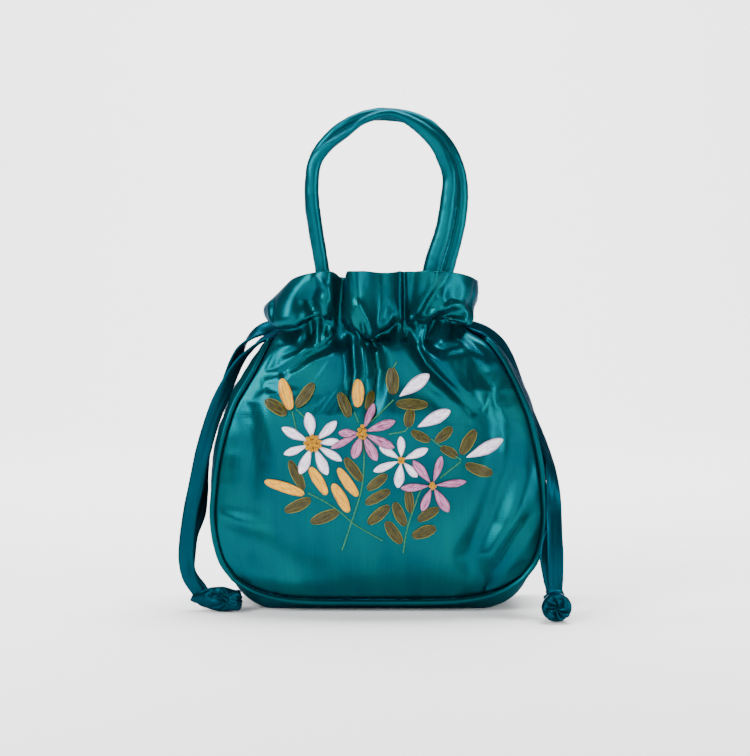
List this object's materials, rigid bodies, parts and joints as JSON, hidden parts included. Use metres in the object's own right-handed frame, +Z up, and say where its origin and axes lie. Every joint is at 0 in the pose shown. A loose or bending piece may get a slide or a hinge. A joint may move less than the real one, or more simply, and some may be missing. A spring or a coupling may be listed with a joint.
{
  "type": "reticule",
  "caption": "Satin drawstring handbag with a gusset, gathered neck and ruffle, loop handles, knotted drawstrings and ribbon-embroidered flowers.",
  "frame": {"origin": "on the surface that the bag stands on, under the middle of the bag", "axes": "+Z up through the mouth, -Y towards the embroidered front, +X to the viewer's right"},
  "size_m": [0.2133, 0.1033, 0.2791],
  "materials": {
    "body_satin": "teal satin, smooth and glossy, with a blue cast across the weave",
    "handle_satin": "teal satin sewn into a padded tube",
    "piping_satin": "teal satin wrapped round a cord",
    "drawstring_satin": "dark teal satin sewn into a flat strap",
    "white_ribbon": "white silk ribbon with a lilac tint",
    "pink_ribbon": "mauve pink silk ribbon with pale streaks",
    "gold_ribbon": "golden yellow silk ribbon",
    "leaf_ribbon": "olive brown satin ribbon",
    "gold_thread": "golden embroidery thread in small knots"
  },
  "bodies": {
    "root": {"front_panel": "body_satin", "back_panel": "body_satin", "gusset": "body_satin", "front_casing": "body_satin", "back_casing": "body_satin", "front_handle": "handle_satin", "back_handle": "handle_satin", "front_piping": "piping_satin", "back_piping": "piping_satin", "front_tunnel_strap": "drawstring_satin", "back_tunnel_strap": "drawstring_satin", "left_string_front": "drawstring_satin", "left_string_back": "drawstring_satin", "right_string_front": "drawstring_satin", "right_string_back": "drawstring_satin", "left_knot": "drawstring_satin", "right_knot": "drawstring_satin", "white_daisy": "white_ribbon", "small_white_daisy": "white_ribbon", "white_bud_1": "white_ribbon", "white_bud_2": "white_ribbon", "white_bud_3": "white_ribbon", "pink_daisy": "pink_ribbon", "small_pink_daisy": "pink_ribbon", "gold_bud_1": "gold_ribbon", "gold_bud_2": "gold_ribbon", "gold_bud_3": "gold_ribbon", "gold_bud_4": "gold_ribbon", "gold_bud_5": "gold_ribbon", "gold_bud_6": "gold_ribbon", "leaf_01": "leaf_ribbon", "leaf_02": "leaf_ribbon", "leaf_03": "leaf_ribbon", "leaf_04": "leaf_ribbon", "leaf_05": "leaf_ribbon", "leaf_06": "leaf_ribbon", "leaf_07": "leaf_ribbon", "leaf_08": "leaf_ribbon", "leaf_09": "leaf_ribbon", "leaf_10": "leaf_ribbon", "leaf_11": "leaf_ribbon", "leaf_12": "leaf_ribbon", "leaf_13": "leaf_ribbon", "leaf_14": "leaf_ribbon", "leaf_15": "leaf_ribbon", "leaf_16": "leaf_ribbon", "leaf_17": "leaf_ribbon", "leaf_18": "leaf_ribbon", "leaf_19": "leaf_ribbon", "leaf_20": "leaf_ribbon", "leaf_21": "leaf_ribbon", "leaf_22": "leaf_ribbon", "leaf_23": "leaf_ribbon", "leaf_24": "leaf_ribbon", "white_daisy_centre": "gold_thread", "pink_daisy_centre": "gold_thread", "small_white_daisy_centre": "gold_thread", "small_pink_daisy_centre": "gold_thread"}
  },
  "joints": []
}
